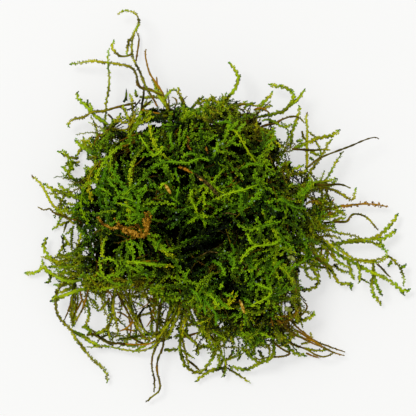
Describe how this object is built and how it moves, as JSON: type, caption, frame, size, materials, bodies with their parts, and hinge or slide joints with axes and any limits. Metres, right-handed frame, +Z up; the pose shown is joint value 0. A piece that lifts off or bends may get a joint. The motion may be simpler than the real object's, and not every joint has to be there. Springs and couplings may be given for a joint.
{
  "type": "moss clump",
  "caption": "Loose tangled clump of creeping green moss with stray shoots all round, cut off flat below, with a few dry bits of litter on top.",
  "frame": {"origin": "middle of the flat cut base, on the surface that the clump rests on", "axes": "+Z up; +Y to the top of the picture and +X to its right, as seen from straight above; clump shortest along Z"},
  "size_m": [0.1152, 0.1172, 0.0318],
  "materials": {
    "moss_mat": "matted living moss, small pointed leaves, damp, deep green between bright tips",
    "moss_leaf": "leafy moss shoots, lime to deep green, slight satin where damp",
    "moss_stem": "bare wiry moss stems, olive to brown",
    "dead_cedar": "dry scale-leaved sprig, orange brown, matt",
    "dry_straw": "dry plant slivers, orange to tan, fibrous"
  },
  "bodies": {
    "root": {"dead_cedar_sprig": "dead_cedar", "east_bare_arch": "moss_stem", "east_bright_feather": "moss_leaf", "east_curl": "moss_leaf", "east_dark_stub": "moss_stem", "east_dead_feather": "moss_leaf", "east_diagonal_stem": "moss_stem", "east_hanging_shoots": "moss_stem", "east_hooked_stem": "moss_stem", "east_long_bare_stem": "moss_stem", "east_loop": "moss_stem", "east_low_feather": "moss_leaf", "east_main_feather": "moss_leaf", "east_olive_pair": "moss_leaf", "east_olive_runner": "moss_stem", "east_thin_dark_stem": "moss_stem", "east_yellow_upright": "moss_leaf", "moss_cushion": "moss_mat", "north_bright_feather": "moss_leaf", "north_crook_stem": "moss_stem", "north_dark_shoot": "moss_leaf", "north_east_arch": "moss_leaf", "north_east_dark_runner": "moss_stem", "north_east_drop": "moss_leaf", "north_east_sprout": "moss_leaf", "north_olive_upright": "moss_stem", "north_orange_thread": "moss_stem", "north_runner": "moss_stem", "north_west_feather": "moss_leaf", "north_west_olive": "moss_stem", "orange_sliver": "dry_straw", "south_dark_drop": "moss_stem", "south_east_bow": "moss_stem", "south_east_brown_loop": "moss_stem", "south_east_bundle": "moss_stem", "south_east_dark_shoot": "moss_leaf", "south_east_feather": "moss_leaf", "south_east_low_stem": "moss_stem", "south_east_ring": "moss_leaf", "south_feather_run": "moss_leaf", "south_loop": "moss_leaf", "south_red_stem": "moss_stem", "south_twin_stem_a": "moss_stem", "south_twin_stem_b": "moss_stem", "south_west_arch": "moss_leaf", "south_west_bow": "moss_stem", "south_west_bundle": "moss_stem", "south_west_drop": "moss_leaf", "south_west_long_stem": "moss_stem", "south_west_olive": "moss_stem", "south_west_orange_bow": "moss_stem", "tan_sliver": "dry_straw", "west_brown_hook": "moss_stem", "west_curved_feather": "moss_leaf", "west_dark_tip": "moss_leaf", "west_feather_pair": "moss_leaf", "west_low_feather": "moss_leaf", "west_south_shoot": "moss_leaf"}
  },
  "joints": []
}
